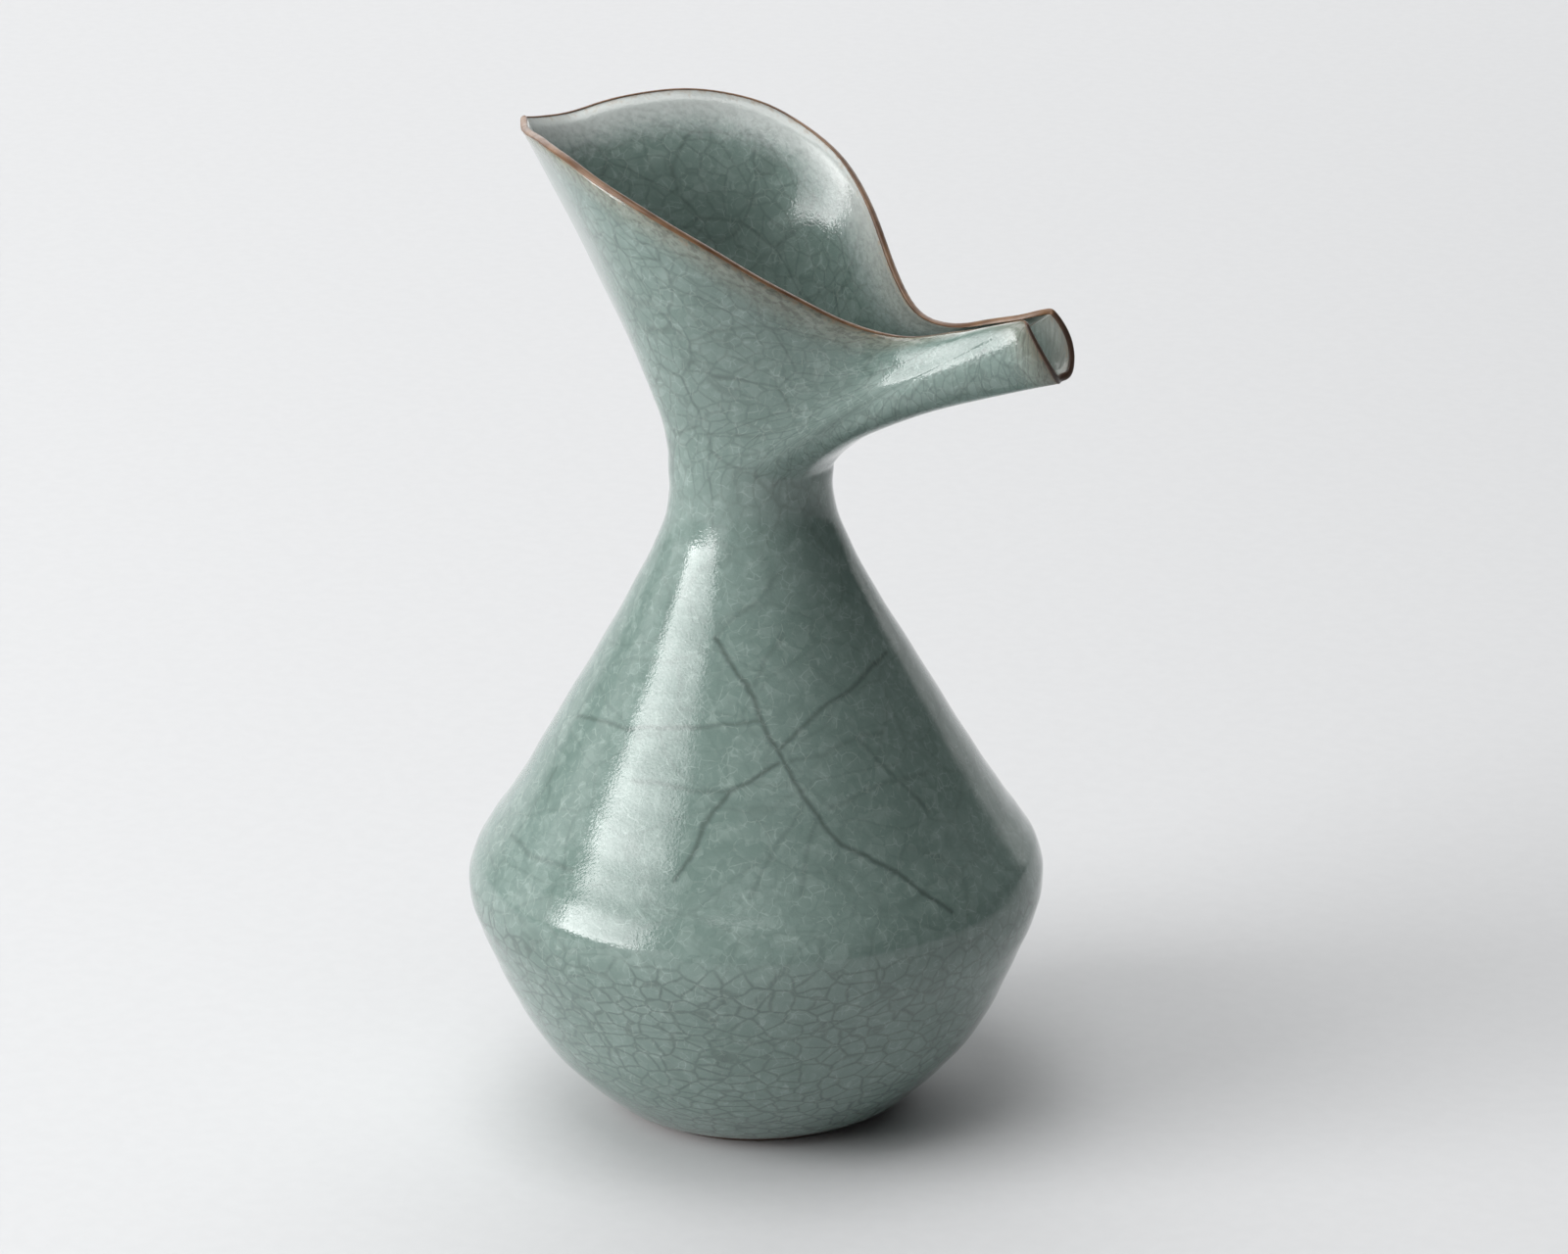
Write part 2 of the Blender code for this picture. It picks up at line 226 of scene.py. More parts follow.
def wall_depth(s):
    """Whole thickness of the wall, which thins to the lip along a curve that opens outwards."""
    half = np.abs(THETA)
    fall_from, fall_over = RIM_FALL
    swell = smooth(s, *RIM_RISE) * (1 - np.clip((s - fall_from) / fall_over, 0, 1) ** 2)
    swell = swell * smooth(half, *RIM_FROM) * smooth(np.pi - half, *RIM_TIP)
    at_lip = WALL_LIP - SPOUT_THINNER * hump(half, *SPOUT_EDGES)
    return WALL_BODY + (at_lip - WALL_BODY) * smooth(s, *WALL_THINS) + RIM_SWELL * swell


T = np.linspace(-T_BACK, T_BACK, COLUMNS, endpoint=False) + T_BACK / COLUMNS * 2
T[-1] = T_BACK
THETA = np.pi * T / T_BACK
# millimetres of wall for one step of s, just under the lip
LIP_PITCH = np.linalg.norm(skin(T, [S_LIP - 0.1])[0] - skin(T, [S_LIP])[0], axis=1) / 0.1


def s_below_lip(distance):
    """Station that lies a distance in millimetres below the lip, for each column."""
    return S_LIP - np.asarray(distance) / LIP_PITCH


def spout_shape(half, s):
    """How far the sides of the spout stand out beyond the skin."""
    below = (S_LIP - s) * LIP_PITCH
    hollow = hump(half, *HOLLOW_TURN) * smooth(s, *SPOUT_RISE) * smooth(below, 0.0, HOLLOW_CLEAR)
    cheek = hump(half, *SWELL_TURN) * hump(below, *SWELL_BELOW) * smooth(below, 0.0, CHEEK_CLEAR)
    curl = below / CURL_BELOW * np.exp(1 - below / CURL_BELOW)
    curl = curl * smooth(half, *CURL_FROM) * (1 - smooth(half, *CURL_TO))
    return CHEEK_SWELL * cheek + LIP_CURL * curl - CHEEK_HOLLOW * hollow


def hand_of_the_potter(s):
    """Small unevenness of a thrown and hand-bent wall, in millimetres across the wall."""
    theta = THETA[None, :] * np.ones_like(s)
    turning = 0.05 * np.sin(2.9 * s + theta) + 0.035 * np.sin(7.3 * s + 2.0 * theta + 0.6)
    oval = 0.10 * np.sin(2 * theta + 0.4) * smooth(s, 1.0, 5.0)
    hand = 0.12 * np.sin(5 * theta + 1.1 * s) * smooth(s, 16.5, 19.0) * (1 - smooth(s, 19.6, 20.0))
    return turning + oval + hand - spout_shape(np.abs(theta), s)


def lip_unevenness(s):
    """How much lower than the drawn line the lip is cut here and there, in millimetres."""
    theta = THETA[None, :] * np.ones_like(s)
    wave = 0.10 * np.sin(9 * theta + 0.7) + 0.07 * np.sin(17 * theta + 2.0) + 0.05 * np.sin(29 * theta)
    return wave * smooth(s, 18.8, 20.0) * smooth(np.abs(theta), 0.8, 1.3)


def face_points(s, depth):
    """Points of one face of the wall at a depth under the outside, for a station per row and column."""
    s = np.asarray(s, float)
    if s.ndim == 1:
        s = np.repeat(s[:, None], COLUMNS, axis=1)
    points = skin(T, s)
    across = inward(T, s)
    points = points + across * (depth + hand_of_the_potter(s))[:, :, None]
    points[:, :, 2] -= lip_unevenness(s)
    return points


# ------------------------------------------------------------------------------------- mesh building
def finished(name, points, faces, material, nodes, values=None):
    """One smooth closed mesh from points in millimetres, riding on the body, for these CAD nodes."""
    mesh = bpy.data.meshes.new(name)
    points = (np.asarray(points, float) + (AXIS_X, 0.0, 0.0)) * MM
    mesh.from_pydata(points.tolist(), [], faces)
    mesh.validate()
    mesh.shade_smooth()
    for key, (kind, data) in (values or {}).items():
        layer = mesh.attributes.new(key, kind, "POINT")
        layer.data.foreach_set("vector" if kind == "FLOAT_VECTOR" else "value", np.ravel(data))
    made = bpy.data.objects.new(name, mesh)
    bpy.context.scene.collection.objects.link(made)
    made.data.materials.append(material)
    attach(made, "root")
    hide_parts(*nodes)
    return made


def grid_faces(rings, count, closed):
    faces = []
    pairs = list(zip(range(rings - 1), range(1, rings)))
    if closed:
        pairs.append((rings - 1, 0))
    for a, b in pairs:
        for j in range(count):
            k = (j + 1) % count
            faces.append((a * count + j, a * count + k, b * count + k, b * count + j))
    return faces


def capped(points, faces, count, rings):
    """Closes the first and the last ring of a grid with a fan."""
    extra = [points[:count].mean(axis=0), points[(rings - 1) * count :].mean(axis=0)]
    start = len(points)
    for j in range(count):
        k = (j + 1) % count
        faces.append((k, j, start))
        faces.append(((rings - 1) * count + j, (rings - 1) * count + k, start + 1))
    return np.vstack([points, extra]), faces


def arc_lengths(grid):
    steps = np.linalg.norm(np.diff(grid, axis=0), axis=2)
    return np.vstack([np.zeros(grid.shape[1]), np.cumsum(steps, axis=0)])


def glaze_values(front, s):
    """For the shader, per point: place in the net of cracks, distance to the lip, and station."""
    run = arc_lengths(front)
    radius = np.hypot(front[:, :, 0], front[:, :, 1]).mean(axis=1, keepdims=True)
    upper = smooth(s, 13.0, 16.5)
    wide = (0.62 + 0.50 * upper) * radius
    tall = 0.85 - 0.42 * upper
    climb = np.vstack([np.zeros(COLUMNS), np.cumsum(np.diff(run, axis=0) * tall[1:], axis=0)])
    net = np.stack([wide * np.cos(THETA), wide * np.sin(THETA), climb], axis=2)
    spout = smooth(s, 17.0, 18.2) * (1 - smooth(np.abs(THETA), 0.75, 1.25))
    along = front * (1.7, 0.8, 0.8)
    net = net + spout[:, :, None] * (along - net)
    return {
        "net": ("FLOAT_VECTOR", net),
        "place": ("FLOAT_VECTOR", front),
        "to_lip": ("FLOAT", run[-1] - run),
        "station": ("FLOAT", s * np.ones(COLUMNS)),
    }


def both_faces(values):
    """The same values for the hidden face of the coat, whose rows run the other way."""
    return {key: (kind, np.concatenate([data, data[::-1]])) for key, (kind, data) in values.items()}


# ------------------------------------------------------------------------------------- node helpers
class Graph:
    """Short ways to add shader nodes to one material."""

    def __init__(self, name):
        self.material = bpy.data.materials.new(name)
        self.material.use_nodes = True
        self.tree = self.material.node_tree
        self.shader = self.tree.nodes["Principled BSDF"]

    def add(self, kind, inputs=(), **settings):
        node = self.tree.nodes.new(kind)
        for key, value in settings.items():
            setattr(node, key, value)
        for key, value in dict(inputs).items():
            self.feed(node.inputs[key], value)
        return node

    def feed(self, socket, value):
        if isinstance(value, bpy.types.NodeSocket):
            self.tree.links.new(value, socket)
        else:
            socket.default_value = value

    def set(self, **values):
        for key, value in values.items():
            self.feed(self.shader.inputs[key.replace("_", " ")], value)

    def maths(self, operation, a, b=0.0, clamp=False):
        node = self.add("ShaderNodeMath", {0: a, 1: b}, operation=operation)
        node.use_clamp = clamp
        return node.outputs[0]

    def vector(self, operation, a, b=(0.0, 0.0, 0.0)):
        node = self.add("ShaderNodeVectorMath", {0: a, 1: b}, operation=operation)
        return node.outputs["Value"] if operation in ("LENGTH", "DOT_PRODUCT") else node.outputs[0]

    def attribute(self, name, output):
        return self.add("ShaderNodeAttribute", attribute_name=name).outputs[output]

    def place(self):
        return self.add("ShaderNodeTexCoord").outputs["Object"]

    def noise(self, at, scale, detail=2.0, roughness=0.5, output="Fac"):
        node = self.add(
            "ShaderNodeTexNoise", {"Vector": at, "Scale": scale, "Detail": detail, "Roughness": roughness}
        )
        return node.outputs[output]

    def voronoi(self, at, scale, feature="F1", output="Distance", randomness=1.0):
        node = self.add(
            "ShaderNodeTexVoronoi",
            {"Vector": at, "Scale": scale, "Randomness": randomness},
            feature=feature,
        )
        return node.outputs[output]

    def between(self, value, low, high, to_low=0.0, to_high=1.0, smoothly=True):
        node = self.add(
            "ShaderNodeMapRange",
            {"Value": value, "From Min": low, "From Max": high, "To Min": to_low, "To Max": to_high},
            interpolation_type="SMOOTHSTEP" if smoothly else "LINEAR",
        )
        return node.outputs["Result"]

    def mix(self, factor, a, b, blend="MIX"):
        node = self.add("ShaderNodeMix", data_type="RGBA", blend_type=blend)
        for socket, value in (("Factor_Float", factor), ("A_Color", a), ("B_Color", b)):
            found = next(s for s in node.inputs if s.identifier == socket)
            self.feed(found, value if isinstance(value, (float, bpy.types.NodeSocket)) else (*value, 1.0))
        return next(s for s in node.outputs if s.identifier == "Result_Color")

    def warped(self, at, scale, amount):
        """at, pushed about by a noise of that scale by up to amount."""
        colour = self.noise(at, scale, output="Color")
        shift = self.vector("SUBTRACT", colour, (0.5, 0.5, 0.5))
        node = self.add("ShaderNodeVectorMath", {0: shift, "Scale": amount}, operation="SCALE")
        return self.vector("ADD", at, node.outputs[0])

    def bump(self, height, strength, distance, normal=None):
        node = self.add(
            "ShaderNodeBump", {"Height": height, "Strength": strength, "Distance": distance}
        )
        if normal is not None:
            self.tree.links.new(normal, node.inputs["Normal"])
        return node.outputs["Normal"]


def facets(g, at, scale, seed):
    """Flakes inside the glaze: each cell fades from dark to pale and stops sharply at its border."""
    at = g.vector("ADD", at, seed)
    node = g.add("ShaderNodeTexVoronoi", {"Vector": at, "Scale": scale}, feature="F1")
    offset = g.vector("SUBTRACT", at, node.outputs["Position"])
    lean = g.vector("NORMALIZE", g.vector("SUBTRACT", node.outputs["Color"], (0.5, 0.5, 0.5)))
    across = g.maths("MULTIPLY", g.vector("DOT_PRODUCT", offset, lean), scale)
    tone = g.add("ShaderNodeSeparateColor", {"Color": node.outputs["Color"]}).outputs[1]
    fade = g.between(across, -0.15, 0.55)
    return g.maths("MULTIPLY", fade, g.between(tone, 0.0, 1.0, 0.25, 1.0))


def crack_lines(g, at, scale, width):
    """Soft lines on the borders of cells 1/scale mm across; width is half a line, in mm."""
    edge = g.voronoi(at, scale, "DISTANCE_TO_EDGE")
    return g.between(edge, 0.0, width * scale, 1.0, 0.0)


def shoulder_point(angle, height):
    """A point of the thrown outside at an angle from the spout and a height, and the normal there."""
    stations = np.linspace(1, 14, 400)
    line = skin([0.0], stations)[:, 0]
    radius = np.interp(height, line[:, 2], line[:, 0])
    slope = np.interp(height, line[:, 2], np.gradient(line[:, 0], line[:, 2]))
    turn = math.radians(angle)
    point = Vector((radius * math.cos(turn), radius * math.sin(turn), height))
    return point, Vector((math.cos(turn), math.sin(turn), -slope)).normalized()


CRACK_DEPTH = 5.0      # how far off its straight course a long crack still shows, in millimetres


def long_cracks(g, at, width):
    """Darkness of the long cracks: soft lines through the points of CRACK_WEB."""
    total = 0.0
    for strength, places in CRACK_WEB:
        nearest = 1000.0
        for (angle, height), (next_angle, next_height) in zip(places, places[1:]):
            start, normal = shoulder_point(angle, height)
            end, _ = shoulder_point(next_angle, next_height)
            line = end - start
            normal = (normal - line * (normal.dot(line) / line.length_squared)).normalized()
            offset = g.vector("SUBTRACT", at, tuple(start))
            share = g.vector("DOT_PRODUCT", offset, tuple(line / line.length_squared))
            share = g.maths("MAXIMUM", g.maths("MINIMUM", share, 1.0), 0.0)
            foot = g.add("ShaderNodeVectorMath", {0: tuple(line), "Scale": share}, operation="SCALE")
            offset = g.vector("SUBTRACT", offset, foot.outputs[0])
            rise = g.vector("DOT_PRODUCT", offset, tuple(normal))
            lift = g.add("ShaderNodeVectorMath", {0: tuple(normal), "Scale": rise}, operation="SCALE")
            gap = g.vector("LENGTH", g.vector("SUBTRACT", offset, lift.outputs[0]))
            # no line on the far side of the bottle, where the same plane comes out again
            beyond = g.maths("SUBTRACT", g.maths("ABSOLUTE", rise), CRACK_DEPTH)
            gap = g.maths("ADD", gap, g.maths("MAXIMUM", beyond, 0.0))
            nearest = g.maths("MINIMUM", gap, nearest)
        total = g.maths("MAXIMUM", g.between(nearest, 0.0, width, strength, 0.0), total)
    return total


GLAZE_DEEP = (0.150, 0.212, 0.188)
GLAZE_LIGHT = (0.178, 0.243, 0.219)
GLAZE_CLOUD = (0.235, 0.305, 0.275)
GLAZE_MOTTLE = (0.110, 0.160, 0.142)
GLAZE_FLAKE = (0.42, 0.51, 0.47)
GLAZE_SMALL_FLAKE = (0.40, 0.49, 0.45)
GLAZE_GLINT = (0.48, 0.57, 0.53)
CRACK_FINE = (0.030, 0.034, 0.032)
CRACK_BROAD = (0.028, 0.030, 0.028)
CRACK_LONG = (0.020, 0.022, 0.020)
THIN_GLAZE = (0.300, 0.275, 0.215)
THIN_STREAK = (0.085, 0.075, 0.058)
THIN_EDGE = (0.30, 0.19, 0.11)
# painted reflection: pale colour for the overhead light mirrored in the lining under the lip
PAINTED_REFLECTION_GLAZE = (0.66, 0.70, 0.69)
FOOT_GLAZE = (0.25, 0.24, 0.215)


def celadon(name, inner):
    """Crackled grey-green glaze, thin and brown towards the lip."""
    g = Graph(name)
    net = g.attribute("net", "Vector")
    at = g.attribute("place", "Vector")
    to_lip = g.attribute("to_lip", "Fac")
    station = g.attribute("station", "Fac")
    bowl = g.between(station, 6.9, 7.7, 1.0, 0.0)
    upper = g.between(station, 14.0, 17.0)

    bent = g.warped(g.warped(net, 0.10, 3.0), 0.6, 0.6)
    fine = crack_lines(g, bent, 0.40, 0.30)
    broad = crack_lines(g, g.warped(net, 0.07, 7.0), 0.10, 0.40)
    patch = g.noise(at, 0.05, 3.0)
    cloud = g.noise(at, 0.40, 4.0, 0.6)
    mottle = g.noise(at, 1.6, 3.0, 0.6)
    loose = g.warped(g.warped(at, 0.22, 2.4), 0.9, 0.35)
    flake = facets(g, loose, 0.27, (5.0, 9.0, 1.0))
    small_flake = facets(g, loose, 0.50, (0.0, 3.0, 7.0))

    colour = g.mix(g.between(patch, 0.35, 0.65), GLAZE_DEEP, GLAZE_LIGHT)
    colour = g.mix(g.between(cloud, 0.3, 0.75, 0.0, 0.17), colour, GLAZE_CLOUD)
    colour = g.mix(g.between(mottle, 0.35, 0.7, 0.0, 0.14), colour, GLAZE_MOTTLE)
    flake_share = g.maths("SUBTRACT", 0.16, g.maths("MULTIPLY", bowl, 0.08))
    colour = g.mix(g.maths("MULTIPLY", flake, flake_share), colour, GLAZE_FLAKE)
    colour = g.mix(g.maths("MULTIPLY", small_flake, 0.15), colour, GLAZE_SMALL_FLAKE)

    glint_share = g.between(cloud, 0.45, 0.6, 0.0, 0.22)
    glints = g.maths("MULTIPLY", crack_lines(g, loose, 0.50, 0.13), glint_share)
    colour = g.mix(glints, colour, GLAZE_GLINT)

    # the dark net: clear below the keel, faint on the shoulder, clear again round the mouth
    net_share = g.maths("ADD", 0.07, g.maths("MULTIPLY", bowl, 0.27))
    net_share = g.maths("ADD", net_share, g.maths("MULTIPLY", upper, 0.15))
    net_share = g.maths("MULTIPLY", net_share, g.between(patch, 0.25, 0.6, 0.55, 1.0))
    colour = g.mix(g.maths("MULTIPLY", fine, net_share), colour, CRACK_FINE)
    broad_share = g.maths("ADD", 0.11, g.maths("MULTIPLY", upper, 0.10))
    colour = g.mix(g.maths("MULTIPLY", broad, broad_share), colour, CRACK_BROAD)
    if not inner:
        wandering = g.warped(g.warped(at, 0.12, 2.4), 0.7, 0.5)
        dark_lines = g.maths("MULTIPLY", long_cracks(g, wandering, 0.80), 0.46)
        colour = g.mix(dark_lines, colour, CRACK_LONG)

    # the coat runs thin towards the lip, in streaks, and shows the clay
    streak = g.noise(g.vector("MULTIPLY", net, (3.0, 3.0, 0.5)), 0.40, 3.0, 0.6)
    ragged = g.maths("ADD", to_lip, g.maths("MULTIPLY", g.maths("SUBTRACT", streak, 0.5), 5.0))
    thin = g.between(ragged, -1.0, 6.5, 1.0, 0.0)
    colour = g.mix(g.maths("MULTIPLY", thin, 0.55), colour, THIN_GLAZE)
    near_lip = g.between(to_lip, 1.0, 8.0, 0.42, 0.0)
    dark_streak = g.maths("MULTIPLY", g.between(streak, 0.47, 0.60), near_lip)
    colour = g.mix(dark_streak, colour, THIN_STREAK)
    if inner:
        # painted reflection: the lining is painted pale under the lip, most of all round the back of the
        # mouth, standing in for the overhead light mirrored there
        away = g.between(g.add("ShaderNodeSeparateXYZ", {0: at}).outputs[0], -2.0, 22.0, 1.0, 0.35)
        painted_reflection = g.maths("MULTIPLY", g.between(ragged, 1.5, 10.0, 0.66, 0.0), away)
        colour = g.mix(painted_reflection, colour, PAINTED_REFLECTION_GLAZE)
    thinner = g.between(ragged, -1.0, 1.2, 1.0, 0.0)
    colour = g.mix(g.maths("MULTIPLY", thinner, 0.55), colour, THIN_EDGE)
    foot_edge = g.between(g.maths("ADD", station, g.maths("MULTIPLY", cloud, 0.5)), 0.9, 1.9, 1.0, 0.0)
    if not inner:
        colour = g.mix(g.maths("MULTIPLY", foot_edge, 0.5), colour, FOOT_GLAZE)

    # softly uneven glass over the crazing
    swell = g.noise(at, 0.55, 3.0, 0.55)
    peel = g.noise(at, 2.2, 2.0, 0.6)
    relief = g.maths("ADD", g.maths("MULTIPLY", swell, 0.5), g.maths("MULTIPLY", peel, 0.8))
    normal = g.bump(relief, 0.7, 0.00006)
    g.set(Base_Color=colour, Roughness=0.045, Normal=normal)
    g.shader.inputs["IOR"].default_value = 1.5
    return g.material


def bare_lip():
    """Iron-brown clay of the lip, dark chocolate round the cut end of the spout."""
    g = Graph("bare_lip_clay")
    at = g.place()
    end = g.attribute("spout_end", "Fac")
    grain = g.noise(at, 900.0, 4.0, 0.6)
    patch = g.noise(at, 160.0, 3.0, 0.6)
    warm = g.mix(g.between(patch, 0.35, 0.65), (0.100, 0.046, 0.020), (0.190, 0.102, 0.050))
    warm = g.mix(g.between(grain, 0.5, 0.75, 0.0, 0.5), warm, (0.11, 0.055, 0.030))
    dark = g.mix(g.between(patch, 0.35, 0.65), (0.045, 0.026, 0.018), (0.085, 0.048, 0.032))
    colour = g.mix(g.between(end, 0.2, 0.8), warm, dark)
    normal = g.bump(grain, 0.4, 0.00005)
    g.set(Base_Color=colour, Roughness=g.between(grain, 0.3, 0.7, 0.28, 0.45), Normal=normal)
    return g.material


def clay(name, dark, pale, scale):
    """Fired stoneware: fine grain with darker iron specks."""
    g = Graph(name)
    at = g.place()
    grain = g.noise(at, scale, 5.0, 0.65)
    specks = g.voronoi(at, scale * 0.7)
    colour = g.mix(g.between(grain, 0.3, 0.7), dark, pale)
    colour = g.mix(g.between(specks, 0.05, 0.22, 0.6, 0.0), colour, (0.03, 0.02, 0.015))
    normal = g.bump(grain, 0.6, 0.0001)
    g.set(Base_Color=colour, Roughness=g.between(grain, 0.2, 0.8, 0.55, 0.8), Normal=normal)
    return g.material


# ------------------------------------------------------------------------------------- the bottle
def coat_rows(start):
    """Even rows of a coat from a station up to its end below the lip: share of the way, and stations."""
    share = np.linspace(0, 1, ROWS)[:, None]
    return share, start + (s_below_lip(COAT_END)[None, :] - start) * share


def outside():
    """The outer coat, which rolls in to a thin edge with a small bead above the bare foot."""
    share, s = coat_rows(OUTSIDE_START)
    edge = smooth(share, 0.0, OUTSIDE_ROLL)
    bead = hump(share, 0.03, 0.02)
    roll = 0.35 * (1 - edge) - 0.18 * bead
    front = face_points(s, roll + 0 * s)
    thin = smooth(s, *COAT_THINS)
    coat = COAT_BODY * (0.45 + 0.55 * edge) * (1 - thin) + COAT_LIP * thin
    back = face_points(s, roll + coat)
    grid = np.concatenate([front, back[::-1]])
    values = both_faces(glaze_values(front, s))
    faces = grid_faces(len(grid), COLUMNS, closed=True)
    material = celadon("celadon_outside", inner=False)
    return finished(
        "glaze_outside", grid.reshape(-1, 3), faces, material, ["outer_glaze"], values
    )


def flat_ring(radius, height):
    return np.column_stack([radius * np.cos(THETA), radius * np.sin(THETA), np.full(COLUMNS, height)])


def floor_rings(edge):
    """Rings of the floor inside its edge, from near the middle outwards."""
    radius = np.linalg.norm(edge[:, :2], axis=1).mean()
    height = edge[:, 2].mean()
    return np.array([flat_ring(radius * u, height - FLOOR_DISH * (1 - u * u)) for u in FLOOR_RINGS])


def inside():
    """The lining: the inside of the wall and the dished floor."""
    s = coat_rows(LINING_START)[1]
    depth = wall_depth(s)
    front = face_points(s, depth)
    thin = smooth(s, *COAT_THINS)
    back = face_points(s, depth - (COAT_BODY * (1 - thin) + COAT_LIP * thin))
    front = np.concatenate([floor_rings(front[0]), front])
    back = np.concatenate([floor_rings(back[0]), back])
    s = np.vstack([np.full((len(FLOOR_RINGS), COLUMNS), LINING_START), s])
    grid = np.concatenate([back, front[::-1]])
    values = both_faces(glaze_values(front, s))
    points = grid.reshape(-1, 3)
    faces = grid_faces(len(grid), COLUMNS, closed=False)
    points, faces = capped(points, faces, COLUMNS, len(grid))
    for key, (kind, data) in list(values.items()):
        width = 3 if kind == "FLOAT_VECTOR" else 1
        flat = np.asarray(data).reshape(-1, width)
        values[key] = (kind, np.vstack([flat, flat[:1], flat[-1:]]))
    material = celadon("celadon_inside", inner=True)
    return finished("glaze_inside", points, faces, material, ["inner_glaze"], values)


def lip():
    """Rounded bare edge along the whole mouth and round the end of the spout."""
    cut_end = 1 - smooth(np.abs(T), *END_CUT)
    band = LIP_BAND + (LIP_BAND_END - LIP_BAND) * cut_end
    grid = []
    for i in range(LIP_RINGS):
        turn = math.pi * i / (LIP_RINGS - 1)
        depth_share = (1 - math.cos(turn)) / 2
        lift = math.sin(turn) ** 0.7 if 0 < i < LIP_RINGS - 1 else 0.0
        s = s_below_lip(band * (1 - lift))[None, :]
        depth = wall_depth(s) * depth_share - LIP_PROUD * math.cos(turn)
        grid.append(face_points(s, depth)[0])
    grid = np.array(grid)
    values = {"spout_end": ("FLOAT", np.repeat(cut_end[None, :], LIP_RINGS, axis=0))}
    faces = grid_faces(LIP_RINGS, COLUMNS, closed=True)
    return finished("lip_line", grid.reshape(-1, 3), faces, bare_lip(), ["lip_bead"], values)


def foot():
    """Bare resting ring, slightly rounded at both rims."""
    low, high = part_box("foot_ring")
    outer = (high[0] - low[0]) / 2 / MM
    rest = outer - FOOT_FLARE
    inner = rest - FOOT_BAND + 0.4
    profile = [
        (rest - 0.5, 0.0), (rest - 0.12, 0.10), (rest + 0.15, 0.38), (rest + 0.85, 0.9),
        (rest + 1.75, 1.6), (outer - 0.55, 2.4), (outer - 0.2, 2.85), (outer - 0.5, 3.0),
        (inner - 0.3, 3.0), (inner - 0.75, 2.85), (inner - 0.7, 2.4), (inner - 0.35, 0.7),
        (inner - 0.1, 0.25), (inner + 0.25, 0.05), (inner + 0.7, 0.0),
    ]
    uneven = [(r + 0.04 * np.sin(3 * THETA) + 0.02 * np.sin(11 * THETA + r), z) for r, z in profile]
    grid = np.array([flat_ring(radius, z) for radius, z in uneven])
    faces = grid_faces(len(grid), COLUMNS, closed=True)
    material = clay("foot_clay_bare", (0.070, 0.040, 0.026), (0.130, 0.078, 0.050), 700.0)
    return finished("foot_band", grid.reshape(-1, 3), faces, material, ["foot_ring"])


def mouth_core():
    """The clay of the mouth and spout between the two coats of glaze, all of it hidden."""
    share = np.linspace(0, 1, CORE_ROWS)[:, None]
    s = CORE_START + (s_below_lip(CORE_END)[None, :] - CORE_START) * share
    cover = CORE_COVER + (CORE_COVER_LIP - CORE_COVER) * smooth(s, *CORE_THINS)
    front = face_points(s, cover)
    back = face_points(s, wall_depth(s) - cover)
    grid = np.concatenate([front, back[::-1]])
    faces = grid_faces(len(grid), COLUMNS, closed=True)
    nodes = ["flared_mouth", "pouring_spout"]
    return finished("mouth_core", grid.reshape(-1, 3), faces, hidden_clay, nodes)


outside()
inside()
lip()
foot()

hidden_clay = clay("stoneware_body", (0.16, 0.13, 0.11), (0.30, 0.26, 0.22), 500.0)
mouth_core()
for node in ("lower_bowl", "shoulder_cone", "neck_collar"):
    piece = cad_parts[node]
    piece.data.materials.clear()
    piece.data.materials.append(hidden_clay)

# ------------------------------------------------------------------------------------- the studio
SWEEP_NEAR = -1.6
SWEEP_FAR = 1.7
SWEEP_RADIUS = 0.9
SWEEP_TOP = 2.6
SWEEP_LEFT = 2.4
SWEEP_RIGHT = 1.1
SWEEP_STEPS = 24       # of the bend between floor and wall
PAPER = ((0.615, 0.620, 0.628), (0.627, 0.632, 0.640))
AZIMUTH = math.radians(30.0)


def turned_to_view(x, y):
    """From right and away, as the camera sees them, to the row frame."""
    return (
        x * math.cos(AZIMUTH) - y * math.sin(AZIMUTH),
        x * math.sin(AZIMUTH) + y * math.cos(AZIMUTH),
    )


def studio_sweep():
    line = [(SWEEP_NEAR, 0.0), (SWEEP_FAR, 0.0)]
    for i in range(1, SWEEP_STEPS + 1):
        turn = math.pi / 2 * i / SWEEP_STEPS
        line.append((SWEEP_FAR + SWEEP_RADIUS * math.sin(turn), SWEEP_RADIUS * (1 - math.cos(turn))))
    line.append((SWEEP_FAR + SWEEP_RADIUS, SWEEP_TOP))
    points = []
    for away, z in line:
        for side in (-SWEEP_LEFT, SWEEP_RIGHT):
            points.append((*turned_to_view(side, away), z))
    faces = [(2 * i, 2 * i + 1, 2 * i + 3, 2 * i + 2) for i in range(len(line) - 1)]
    mesh = bpy.data.meshes.new("studio_sweep")
    mesh.from_pydata(points, [], faces)
    mesh.shade_smooth()
    made = bpy.data.objects.new("studio_sweep", mesh)
    bpy.context.scene.collection.objects.link(made)
    g = Graph("studio_paper")
    grain = g.noise(g.place(), 300.0, 3.0)
    g.set(Base_Color=g.mix(g.between(grain, 0.3, 0.7), *PAPER), Roughness=0.85)
    mesh.materials.append(g.material)
    return made


